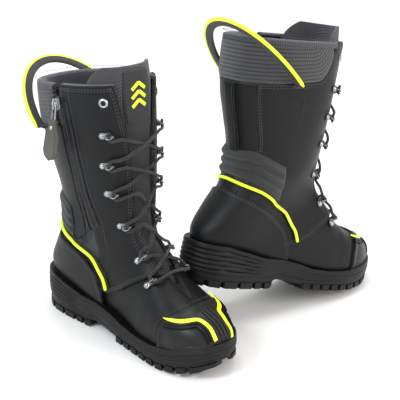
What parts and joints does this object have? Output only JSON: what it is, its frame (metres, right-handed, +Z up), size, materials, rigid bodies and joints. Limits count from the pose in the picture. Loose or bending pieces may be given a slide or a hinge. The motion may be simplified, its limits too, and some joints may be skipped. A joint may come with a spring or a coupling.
{
  "type": "fire boots",
  "caption": "Pair of laced safety boots with side zips, rear pull loops, rubber toe guards and lugged soles; the right boot's heel rests on the left boot's toe.",
  "frame": {"origin": "on the ground under the middle of the pair's bounding box", "axes": "+Z up; the left boot's toe points 45 degrees clockwise of +X and the right boot's toe 36 degrees anticlockwise of +X, seen from above"},
  "size_m": [0.44, 0.3202, 0.3757],
  "materials": {
    "leather": "matte full-grain leather, waxed",
    "sole_rubber": "moulded rubber with a soft sheen",
    "knit": "padded spacer knit",
    "padding": "padded abrasion-resistant cloth",
    "lining_cloth": "knitted membrane lining",
    "hi_vis": "high-visibility yellow piping",
    "loop_webbing": "black webbing with high-visibility piping along its outer edge",
    "lace_cord": "round braided aramid lace",
    "steel": "nickel-plated steel",
    "dark_steel": "gunmetal-plated steel",
    "tape": "woven zip tape",
    "tab_leather": "grey-green pull leather with stitched edge",
    "board": "woven puncture-resistant textile plate"
  },
  "bodies": {
    "left_boot": {"left_outsole": "sole_rubber", "left_midsole": "sole_rubber", "left_puncture_plate": "board", "left_insole": "knit", "left_toe_cap": "steel", "left_toe_bumper": "sole_rubber", "left_vamp": "leather", "left_heel_counter": "leather", "left_quarter_lateral": "leather", "left_quarter_medial": "leather", "left_back_panel": "leather", "left_ankle_pad": "padding", "left_ankle_piping": "hi_vis", "left_collar": "knit", "left_lining": "lining_cloth", "left_tongue": "knit", "left_tongue_patch": "padding", "left_hooks_lateral": "dark_steel", "left_hooks_medial": "dark_steel", "left_toe_hook_lateral": "dark_steel", "left_toe_hook_medial": "dark_steel", "left_eyelet_lateral": "steel", "left_eyelet_medial": "steel", "left_lace": "lace_cord", "left_zip_tape": "tape", "left_zip_teeth": "dark_steel"},
    "left_zip_slider": {"left_zip_slider": "dark_steel"},
    "left_zip_pull": {"left_zip_link": "dark_steel", "left_zip_tab": "tab_leather"},
    "left_loop": {"left_pull_loop": "loop_webbing"},
    "right_boot": {"right_outsole": "sole_rubber", "right_midsole": "sole_rubber", "right_puncture_plate": "board", "right_insole": "knit", "right_toe_cap": "steel", "right_toe_bumper": "sole_rubber", "right_vamp": "leather", "right_heel_counter": "leather", "right_quarter_lateral": "leather", "right_quarter_medial": "leather", "right_back_panel": "leather", "right_ankle_pad": "padding", "right_ankle_piping": "hi_vis", "right_collar": "knit", "right_lining": "lining_cloth", "right_tongue": "knit", "right_tongue_patch": "padding", "right_hooks_lateral": "dark_steel", "right_hooks_medial": "dark_steel", "right_toe_hook_lateral": "dark_steel", "right_toe_hook_medial": "dark_steel", "right_eyelet_lateral": "steel", "right_eyelet_medial": "steel", "right_lace": "lace_cord", "right_zip_tape": "tape", "right_zip_teeth": "dark_steel"},
    "right_zip_slider": {"right_zip_slider": "dark_steel"},
    "right_zip_pull": {"right_zip_link": "dark_steel", "right_zip_tab": "tab_leather"},
    "right_loop": {"right_pull_loop": "loop_webbing"}
  },
  "joints": [
    {"name": "left_zip_travel", "type": "slide", "parent": "left_boot", "child": "left_zip_slider", "axis": [0.1814, -0.0672, -0.9811], "range_m": [0, 0.138]},
    {"name": "left_zip_tab_swing", "type": "hinge", "parent": "left_zip_slider", "child": "left_zip_pull", "pos_m": [-0.17086, -0.03377, 0.28102], "axis": [-0.7118, 0.7024, 0], "range_deg": [-4, 110]},
    {"name": "left_loop_fold", "type": "hinge", "parent": "left_boot", "child": "left_loop", "pos_m": [-0.14422, 0.02643, 0.25019], "axis": [-0.803, -0.5957, -0.018], "range_deg": [-2, 68]},
    {"name": "right_boot_lift", "type": "slide", "parent": "left_boot", "child": "right_boot", "axis": [0, 0, 1], "range_m": [0, 0.15]},
    {"name": "right_zip_travel", "type": "slide", "parent": "right_boot", "child": "right_zip_slider", "axis": [0.0083, -0.1572, -0.9875], "range_m": [0, 0.138]},
    {"name": "right_zip_tab_swing", "type": "hinge", "parent": "right_zip_slider", "child": "right_zip_pull", "pos_m": [0.05373, 0.11191, 0.31335], "axis": [0.7847, 0.562, -0.2614], "range_deg": [-4, 110]},
    {"name": "right_loop_fold", "type": "hinge", "parent": "right_boot", "child": "right_loop", "pos_m": [0.06635, 0.0433, 0.29295], "axis": [0.7092, -0.7044, 0.029], "range_deg": [-2, 68]}
  ]
}
